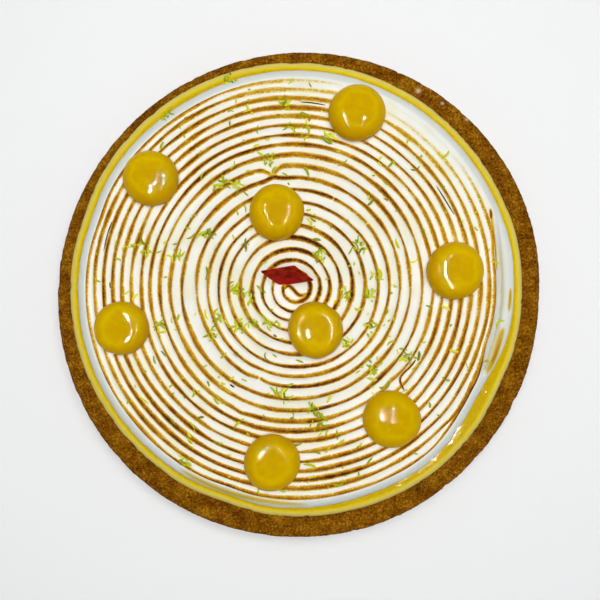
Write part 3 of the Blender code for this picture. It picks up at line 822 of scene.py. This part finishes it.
def groove_profile(width, share_in, share_out, v):
    """Height across a groove above its level: a sharp fin at each crest and a hollow between them."""
    hollow = np.abs(2 * v - 1) ** HOLLOW_POWER
    share = (1 - v) * share_in + v * share_out
    fin_in = share_in * np.exp(-v * width / CREST_SHARPNESS)
    fin_out = share_out * np.exp(-(1 - v) * width / CREST_SHARPNESS)
    flat = smoothstep(width / (HOLLOW_WIDTH * MM))
    return CREST_DEPTH * (HOLLOW_PART * hollow * share * flat + FIN_PART * np.maximum(fin_in, fin_out))


def press_of_domes(x, y, level):
    """The meringue's level, pushed down under each dome."""
    for dome_x, dome_y, diameter, _, _ in DOMES:
        away = np.hypot(x - dome_x, y - dome_y) / (0.5 * diameter)
        under = 1 - smoothstep((away - PRESS_FROM) / PRESS_FADE)
        level = level - under * np.maximum(level - DOME_FOOT + PRESS_CLEAR, 0)
    return level


def surface_level(x, y):
    """Level of the swirl's top at any place, from the two crests on either side of it along its ray."""
    x, y = np.asarray(x, float), np.asarray(y, float)
    dx, dy = x - SPIRAL_CENTRE[0], y - SPIRAL_CENTRE[1]
    radius = np.hypot(dx, dy)
    part = ((np.arctan2(dy, dx) - SPIRAL_START) / FULL_TURN) % 1
    turns = np.arange(-1, int(LAST_TURN) + 2)[:, None] + part.ravel()[None, :]
    crests = crest_radius(turns)
    below = np.clip((crests <= radius.ravel()[None, :]).sum(0) - 1, 0, len(crests) - 2)
    pick = np.arange(part.size)
    inner, outer = crests[below, pick], crests[below + 1, pick]
    width = np.maximum(outer - inner, SAME_PLACE)
    v = np.clip((radius.ravel() - inner) / width, 0, 1)
    share_in = crest_share(turns[below, pick], inner)
    share_out = crest_share(turns[below + 1, pick], outer)
    level = GROOVE_LEVEL + groove_profile(width, share_in, share_out, v)
    return level.reshape(x.shape)


def rounded_path(places):
    """Smooth path through places in mm: corners are cut at a quarter of each side, three times over."""
    path = np.array(places) * MM
    for _ in range(3):
        quarter, rest = 0.75 * path[:-1] + 0.25 * path[1:], 0.25 * path[:-1] + 0.75 * path[1:]
        path = np.concatenate((path[:1], np.stack((quarter, rest), 1).reshape(-1, 2), path[-1:]))
    return path


def path_with_sides(places):
    """Smooth path through places in mm, the unit vectors across it, and each point's share of its length."""
    path = rounded_path(places)
    run = np.gradient(path, axis=0)
    across = np.stack((-run[:, 1], run[:, 0]), -1) / np.linalg.norm(run, axis=1, keepdims=True)
    return path, across, np.linspace(0, 1, len(path))


def stroke_heat(x, y):
    """Extra browning: strength times exp(-(distance to the path / width)²), narrowing to both its ends."""
    heat = np.zeros_like(x)
    for strength, width, *places in STROKES:
        path = rounded_path(places)
        low, high = path.min(0) - 4 * width * MM, path.max(0) + 4 * width * MM
        close = (x > low[0]) & (x < high[0]) & (y > low[1]) & (y < high[1])
        near_x, near_y = x[close], y[close]
        best, along = np.full(near_x.shape, 1.0), np.zeros(near_x.shape)
        for number, (start, end) in enumerate(zip(path, path[1:])):
            run = end - start
            from_x, from_y = near_x - start[0], near_y - start[1]
            share = np.clip((from_x * run[0] + from_y * run[1]) / (run @ run), 0, 1)
            away = np.hypot(from_x - share * run[0], from_y - share * run[1])
            along = np.where(away < best, (number + share) / (len(path) - 1), along)
            best = np.minimum(best, away)
        taper = 0.25 + 0.75 * (1 - np.abs(2 * along - 1) ** 3)
        heat[close] = np.maximum(heat[close], strength * taper * bell(best / (width * MM * taper)))
    return heat


def edge_levels(step, angle):
    """Level of the meringue's edge: a superellipse down to the lip; along the tail a crease and a hump."""
    drop = SHOULDER_LEVEL - MERINGUE_FOOT - EDGE_LIP
    plain = EDGE_LIP + drop * (1 - step**EDGE_FULLNESS) ** (1 / EDGE_FULLNESS)
    slope = np.clip(step / TAIL_CREASE, 0, 1)
    to_crease = TAIL_SHOULDER - TAIL_DROP * (1 - (1 - slope) ** TAIL_DROP_POWER)
    rise = np.clip((step - TAIL_CREASE) / (TAIL_TOP - TAIL_CREASE), 0, 1)
    fall = np.clip((step - TAIL_TOP) / (1 - TAIL_TOP), 0, 1)
    hump = TAIL_CREASE_LEVEL + TAIL_HUMP * np.sin(QUARTER_TURN * rise)
    hump = hump - TAIL_FALL * (1 - np.sqrt(1 - fall**2))
    tailed = np.where(step < TAIL_CREASE, to_crease, hump)
    window = tail_window(angle)
    return MERINGUE_FOOT + (1 - window) * plain + window * tailed


def in_and_out(values):
    """Values at the crest inside each station of the strip, and at the crest one turn further out."""
    return values[:-STATIONS, None], values[STATIONS:, None]


def swirl_strip(turn, angle, crest):
    """Top of the meringue: points from each crest to the next one out, and what the finish reads there."""
    crest_in, crest_out = in_and_out(crest)
    share_in, share_out = in_and_out(crest_share(turn, crest))
    torch_in, torch_out = in_and_out(torch_strength(turn, crest))
    v, width = ACROSS[None, :], crest_out - crest_in
    radius, ray = crest_in + v * width, angle[:-STATIONS, None]
    x = SPIRAL_CENTRE[0] + radius * np.cos(ray)
    y = SPIRAL_CENTRE[1] + radius * np.sin(ray)
    place = np.stack((x, y, 0 * x), -1)
    level = GROOVE_LEVEL + groove_profile(width, share_in, share_out, v)
    level = press_of_domes(x, y, level + grain(place, SWIRL_GRAIN) * MM)
    level = level + bell(radius / (EYE_WIDTH * MM)) * (GROOVE_LEVEL + EYE_RISE * MM - level)
    scorch = stroke_heat(x, y)
    level = level + STROKE_RISE * MM * scorch * smoothstep((0.6 - share_in) / 0.4)

    mixed = smoothstep((v - 0.35) / 0.3)
    kept = (1 - mixed) * share_in + mixed * share_out
    heat = ((1 - mixed) * torch_in + mixed * torch_out) * smoothstep(kept / 0.45)
    side = np.where(v < 0.5, 1.0, -1.0)
    reach = TORCH_REACH * (1 + grain(place, TORCH_REACH_CHANGE) + side * grain(place, TORCH_LEAN))
    marks = {
        "crest_gap": np.minimum(v, 1 - v) * width / MM,
        "reach": reach,
        "haze": HAZE_ZEST * zest_stain(x, y) + HAZE_BASE + np.maximum(grain(place, HAZE), 0),
        "slope": 0 * x,
        "torch": heat,
        "scorch": scorch,
        "painted_crease_shadow": 0 * x,
    }
    return np.stack((x, y, level), -1), marks


def swirl_edge(ray, shoulder):
    """Outer slope and foot of the meringue, as rings from the shoulder to the middle of the underside."""
    x = SPIRAL_CENTRE[0] + shoulder * np.cos(ray)
    y = SPIRAL_CENTRE[1] + shoulder * np.sin(ray)
    about = np.arctan2(y, x)
    edge, run = meringue_radius(about), edge_run(about)
    steps = EDGE_STEPS[:, None]
    rings = polar(edge - run * (1 - steps), about, edge_levels(steps, about))
    rings = rings + polar(grain(rings, EDGE_GRAIN) * MM * np.minimum(steps * 3, 1), about, 0.0)
    under = [polar(radius, about, MERINGUE_FOOT) for radius in (edge - EDGE_UNDERCUT, 0.5 * edge, 0.0 * edge)]
    rings = np.concatenate((rings, under))
    none = np.zeros(rings.shape[:2])
    slope, painted_crease_shadow = none.copy(), none.copy()
    # Slope mark: painted shade, greyer from the shoulder down the outer slope.
    slope[: len(steps)] = smoothstep(steps / 0.25)
    # Painted shadow along the tail's crease: a bell curve across the slope.
    painted_crease_shadow[: len(steps)] = bell((steps - TAIL_CREASE) / TAIL_SHADOW_WIDTH) * tail_window(about)
    marks = {
        "crest_gap": none + 9,
        "reach": none + 1,
        "haze": none,
        "slope": slope,
        "torch": none,
        "scorch": stroke_heat(rings[..., 0], rings[..., 1]),
        "painted_crease_shadow": painted_crease_shadow,
    }
    return rings, marks


def swirl_faces(stations, rings):
    """Quads of the spiral strip and of the rings, and the triangles that close the strip's last station."""
    number = np.arange(stations * len(ACROSS)).reshape(stations, -1)
    ring_number = number.size + np.arange(rings * STATIONS).reshape(-1, STATIONS)
    outward = np.concatenate((number[STATIONS:, 0], ring_number[0]))[:, None]
    grid = np.concatenate((number, outward), axis=1)
    quads = np.stack((grid[:-1, :-1], grid[:-1, 1:], grid[1:, 1:], grid[1:, :-1]), -1).reshape(-1, 4)
    last = grid[-1]
    closing = np.stack((last[:-1], last[1:], 0 * last[1:] + ring_number[0, 0]), -1)
    return np.concatenate((quads, ring_faces(rings, STATIONS) + number.size)), closing


def make_swirl(material):
    """Meringue: a spiral strip grid, its outer slope as rings, and a flat foot.

    Row k of the strip is one station along the spiral; column j lies a share v of the way from the crest at
    turn t to the crest one turn further out. The last column is the first column of the next turn, so the
    strip has no seams; turns below zero lie at the middle, and turns past the last lie on the shoulder.
    """
    last = int(LAST_TURN * STATIONS) + 1
    turn = np.arange(-STATIONS, last + STATIONS) / STATIONS
    angle = SPIRAL_START + FULL_TURN * turn
    crest = crest_radius(turn)
    strip, marks = swirl_strip(turn, angle, crest)
    rings, ring_marks = swirl_edge(angle[-STATIONS:], crest[-STATIONS:])
    points = np.concatenate((strip.reshape(-1, 3), rings.reshape(-1, 3)))
    attributes = {key: np.concatenate((marks[key].ravel(), ring_marks[key].ravel())) for key in marks}
    faces = swirl_faces(len(strip), len(rings))
    piece = new_piece("torched_meringue", points, faces, material, attributes)
    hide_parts("meringue")


def make_loose_ridge(material):
    """Loose end of a crest: an ellipse carried along a bent path, half sunk, tapering as 1 - |2s - 1|³."""
    strength, half, height, *places = LOOSE_RIDGE
    path, across, share = path_with_sides(places)
    taper = np.maximum(1 - np.abs(2 * share - 1) ** 3, 0.02)[:, None]
    turn = circle(RIDGE_COLUMNS)
    width = half * MM * taper * np.cos(turn)
    flat = path[:, None, :] + across[:, None, :] * width[..., None]
    ground = surface_level(path[:, 0], path[:, 1])[:, None]
    level = ground + height * MM * taper * np.sin(turn) - RIDGE_SUNK * MM
    points = np.concatenate((flat, level[..., None]), -1).reshape(-1, 3)
    none = np.zeros(width.shape)
    attributes = {"crest_gap": np.abs(width) / MM, "reach": none + half, "torch": none + strength}
    attributes.update({key: none for key in ("haze", "slope", "scorch", "painted_crease_shadow")})
    faces = tube_faces(len(path), RIDGE_COLUMNS)
    piece = new_piece("loose_ridge", points, faces, material, attributes)
    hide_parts("meringue")


def zest_places():
    """Middle of each shred: clumps round the noted places, then single shreds all over, off the domes."""
    draw = np.random.default_rng(ZEST_SEED)
    degrees, distance = np.array(ZEST_CLUMPS, float).T
    middles = polar(distance * MM, np.radians(degrees), 0.0)[:, :2] + ZEST_CLUMPS_CENTRE
    near = np.repeat(middles, ZEST_IN_CLUMP, axis=0)
    near = near + draw.normal(0, ZEST_SPREAD, near.shape)
    reach = ZEST_OUTER * np.sqrt(draw.uniform(0.02, 1, ZEST_SINGLE))
    angle = draw.uniform(0, FULL_TURN, ZEST_SINGLE)
    places = np.concatenate((near, polar(reach, angle, 0.0)[:, :2] + SPIRAL_CENTRE))
    free = np.ones(len(places), bool)
    for dome_x, dome_y, diameter, _, _ in DOMES:
        free &= np.hypot(places[:, 0] - dome_x, places[:, 1] - dome_y) > 0.5 * diameter + ZEST_CLEAR
    return places[free], draw


def zest_stain(x, y):
    """Pale green-yellow stain round the zest: 1 - product of (1 - bell curve) over the shreds."""
    clear = np.ones(x.shape)
    for place_x, place_y in zest_places()[0]:
        row = np.abs(x - place_x) < ZEST_STAIN_REACH
        row[row] = np.abs(y[row] - place_y) < ZEST_STAIN_REACH
        away = ((x[row] - place_x) ** 2 + (y[row] - place_y) ** 2) / ZEST_STAIN_WIDTH**2
        clear[row] *= 1 - ZEST_STAIN_SHARE * np.exp(-away)
    return 1 - clear


def resting_level(x, y):
    """Level that a shred rests on: the swirl's top, the meringue's outer slope, or the curd beyond it."""
    about = np.arctan2(y, x)
    edge, run = meringue_radius(about), edge_run(about)
    step = 1 + (np.hypot(x, y) - edge) / run
    slope = edge_levels(np.clip(step, 0, 1), about)
    level = np.where(step < 0, surface_level(x, y), slope)
    return np.where(step > 1, CURD_TOP + GAP, level)


def make_zest():
    """Lime zest: thin wavy strips of six stations along bent paths that lie on what is under them."""
    places, draw = zest_places()
    count = len(places)
    column = (count, 1)
    size = draw.uniform(0, 1, column) ** ZEST_SMALL_ONES
    length = (ZEST_LENGTH + ZEST_LONGER * size) * MM
    half = 0.5 * draw.uniform(*ZEST_WIDTH, column) * MM * (0.8 + 0.5 * size)
    heading = draw.uniform(0, FULL_TURN, column)
    bend = draw.uniform(-ZEST_BEND, ZEST_BEND, column) * (0.35 + 0.65 * size)
    along = np.linspace(-0.5, 0.5, ZEST_STATIONS)[None, :]
    turned = heading + bend * along
    x = places[:, :1] + length * along * np.cos(heading + 0.5 * bend * along)
    y = places[:, 1:] + length * along * np.sin(heading + 0.5 * bend * along)
    ground = resting_level(x, y)
    on_slope = ground.min(axis=1, keepdims=True) < GROOVE_LEVEL - 0.5 * MM
    ground = np.where(on_slope, ground, 0.5 * ground + 0.5 * ground.mean(axis=1, keepdims=True))
    lift = draw.uniform(*ZEST_LIFT, column) * MM * (1 - (2 * along) ** 2 * draw.uniform(0, 1, column))
    half = half * np.sqrt(np.maximum(1 - (2 * along) ** 4, 0.06))
    tilt = draw.uniform(-ZEST_TILT, ZEST_TILT, column) + ZEST_TWIST * along * draw.uniform(-1, 1, column)
    side_x, side_y = -np.sin(turned) * np.cos(tilt), np.cos(turned) * np.cos(tilt)
    corners = []
    for side, rise in ((1, -1), (-1, -1), (-1, 1), (1, 1)):
        level = ground + lift + side * half * np.sin(tilt) + rise * (0.5 * ZEST_THICK)
        corners.append(np.stack((x + side * half * side_x, y + side * half * side_y, level), -1))
    points = np.stack(corners, axis=2).reshape(-1, 3)
    number = np.arange(count * ZEST_STATIONS * 4).reshape(count, ZEST_STATIONS, 4)
    after = np.roll(number, -1, axis=2)
    sides = np.stack((number[:, :-1], after[:, :-1], after[:, 1:], number[:, 1:]), -1).reshape(-1, 4)
    ends = np.concatenate((number[:, 0, ::-1], number[:, -1])).reshape(-1, 4)
    tone = np.clip(draw.normal(ZEST_TONE, ZEST_TONE_SPREAD, count), 0.0, 1)
    tones = np.repeat(tone, ZEST_STATIONS * 4)
    faces = np.concatenate((sides, ends))
    piece = new_piece("lime_shreds", points, faces, zest_material(), {"tone": tones})
    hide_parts("meringue")


def make_slits():
    """Painted shade of slits between piped turns: dark lens-shaped ribbons, width * (1 - |2s - 1|^2.5), at
    the groove's level.
    """
    points, faces = [], []
    ring = np.array(((1, 0), (0, 1), (-1, 0), (0, -1)))
    for half, *places in SLITS:
        path, across, share = path_with_sides(places)
        width = half * MM * (1 - np.abs(2 * share - 1) ** 2.5) + 1e-5
        level = surface_level(path[:, 0], path[:, 1]) + SLIT_LIFT * MM
        flat = path[:, None, :] + across[:, None, :] * width[:, None, None] * ring[None, :, :1]
        height = level[:, None] + SLIT_THICK * MM * ring[None, :, 1]
        first = sum(len(part) for part in points)
        points.append(np.concatenate((flat, height[..., None]), -1).reshape(-1, 3))
        faces += [group + first for group in tube_faces(len(path), len(ring))]
    points, faces = np.concatenate(points), np.concatenate(faces)
    piece = new_piece("slit_shadow_ribbons", points, faces, slit_material())
    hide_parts("meringue")


def dome_outline(number, angle, oval, direction):
    """Share of a dome's radius by angle: slightly oval and three-sided, bulging where it slumped."""
    outline = 1 + oval * (np.cos(2 * (angle - np.radians(direction))) + 0.5 * np.cos(3 * angle))
    return outline + lobes(angle, DOME_BULGES.get(number, ()))


def make_dome(number, dome, material):
    """Slumped gel dome as rings: radius share and level, from the tucked foot over the belly to the top."""
    x, y, diameter, oval, direction = dome
    depth, reach, square = DOME_TOPS.get(number, DOME_TOP)
    angle = circle(DOME_COLUMNS)
    side = np.linspace(0, 1, DOME_SIDE_ROWS)[:-1]
    rise = QUARTER_TURN * np.linspace(0, 1, DOME_TOP_ROWS) ** 0.8
    tuck = DOME_TUCK + (1 - DOME_TUCK) * np.sin(QUARTER_TURN * side)
    share = np.concatenate(((0.0, 0.6), tuck, np.cos(rise) ** square))
    share[-1] = 0.0
    top = DOME_WIDEST + (DOME_HEIGHT - DOME_WIDEST) * np.sin(rise)
    level = np.concatenate(((0.0, 0.0), DOME_WIDEST * side, top))
    level = level - depth * MM * bell(share / reach) * (level > DOME_WIDEST)
    radius = 0.5 * diameter * share[:, None] * dome_outline(number, angle, oval, direction)[None, :]
    points = polar(radius, angle[None, :], DOME_FOOT + level[:, None])
    shift = np.array((x, y, 0.0))
    outwards = points - np.array((0, 0, DOME_FOOT))
    outwards = outwards / np.maximum(np.linalg.norm(outwards, axis=-1, keepdims=True), 1e-9)
    fade = smoothstep(level / (2 * MM))[:, None] * smoothstep(share / 0.1)[:, None]
    points = points + outwards * (grain(points + shift, DOME_LUMPS) * fade * MM)[..., None] + shift
    # Painted light: each dome is lighter on the side towards 60 degrees.
    painted_light_side = 0.25 * share[:, None] * np.cos(angle - np.radians(60))[None, :]
    crown_tone_and_painted_light = np.clip(smoothstep((0.95 - share) / 0.6)[:, None] + painted_light_side, 0, 1)
    piece = ring_piece(f"gel_dome_{number}", points, material, {"crown_tone_and_painted_light": crown_tone_and_painted_light})
    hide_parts(f"dome_{number}")


def make_plaque_piece():
    """Thin slab as rings: each ring is a square with slightly round corners, (|cos|^p + |sin|^p)^(-1/p)."""
    left = PLAQUE_LEFT_EDGE / np.linalg.norm(PLAQUE_LEFT_EDGE)
    right = PLAQUE_RIGHT_EDGE - left * (PLAQUE_RIGHT_EDGE @ left)
    right = right / np.linalg.norm(right)
    normal = np.cross(left, right)
    angle, power = circle(PLAQUE_COLUMNS), PLAQUE_SQUARENESS
    square = (np.abs(np.cos(angle)) ** power + np.abs(np.sin(angle)) ** power) ** (-1 / power)
    half, thick = 0.5 * PLAQUE_SIDE, 0.5 * PLAQUE_THICK
    round_edge = np.linspace(-QUARTER_TURN, QUARTER_TURN, 7)
    flat = np.array((0, 0.3, 0.6, 0.9))
    share = np.concatenate((flat, 1 - (thick / half) * (1 - np.cos(round_edge)), flat[::-1]))
    height = np.concatenate((flat * 0 - 1, np.sin(round_edge), flat * 0 + 1)) * thick
    reach = half * share[:, None] * square[None, :]
    flat_u, flat_v = reach * np.cos(angle), reach * np.sin(angle)
    out = height[:, None] + PLAQUE_BOW * (flat_u / half) ** 2
    points = PLAQUE_FOOT + half * (left + right) + flat_u[..., None] * left + flat_v[..., None] * right
    points = points + out[..., None] * normal
    attributes = {"corner": smoothstep(0.2 - 0.9 * (flat_u + flat_v) / half)}
    piece = ring_piece("red_plaque_slab", points, plaque_material(), attributes)
    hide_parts("plaque")


def make_floor():
    floor_mesh = bpy.data.meshes.new("floor")
    corners = [(x * FLOOR_HALF, y * FLOOR_HALF, 0) for x, y in ((-1, -1), (1, -1), (1, 1), (-1, 1))]
    floor_mesh.from_pydata(corners, [], [(0, 1, 2, 3)])
    pale = Nodes("pale_floor")
    pale.finish(0.9, 0.0)
    pale.shader.inputs["Base Color"].default_value = FLOOR_COLOUR
    floor_mesh.materials.append(pale.material)
    floor = bpy.data.objects.new("floor", floor_mesh)
    bpy.context.scene.collection.objects.link(floor)


def area_light(name, place, size, power, mirrored):
    data = bpy.data.lights.new(name, "AREA")
    data.size = size
    data.energy = power
    light = bpy.data.objects.new(name, data)
    light.location = place
    light.visible_glossy = mirrored
    light.visible_diffuse = not mirrored
    light.visible_camera = False
    light.rotation_euler = (-mathutils.Vector(place)).to_track_quat("-Z", "Y").to_euler()
    bpy.context.scene.collection.objects.link(light)


def set_camera_and_light():
    scene = bpy.context.scene
    camera_data = bpy.data.cameras.new("camera")
    camera_data.lens = CAMERA_LENS
    camera = bpy.data.objects.new("camera", camera_data)
    camera.location = CAMERA_PLACE
    scene.collection.objects.link(camera)
    scene.camera = camera
    world = bpy.data.worlds.new("soft_room")
    world.use_nodes = True
    background = world.node_tree.nodes["Background"]
    background.inputs["Color"].default_value = WORLD_COLOUR
    background.inputs["Strength"].default_value = WORLD_STRENGTH
    scene.world = world
    for name, (x, y, z), size, power, count in LIGHTS:
        for number in range(count):
            along = (number - 0.5 * (count - 1)) * LAMP_SPACING
            area_light(f"{name}_{number}", (x, y + along, z), size, power, count > 1)
    scene.view_settings.view_transform = "Standard"


make_case()
make_curd_piece()
meringue_finish = meringue_material()
make_swirl(meringue_finish)
make_loose_ridge(meringue_finish)
make_zest()
make_slits()
gel = gel_material()
for dome_number, dome_row in enumerate(DOMES, 1):
    make_dome(dome_number, dome_row, gel)
make_plaque_piece()
make_floor()
set_camera_and_light()
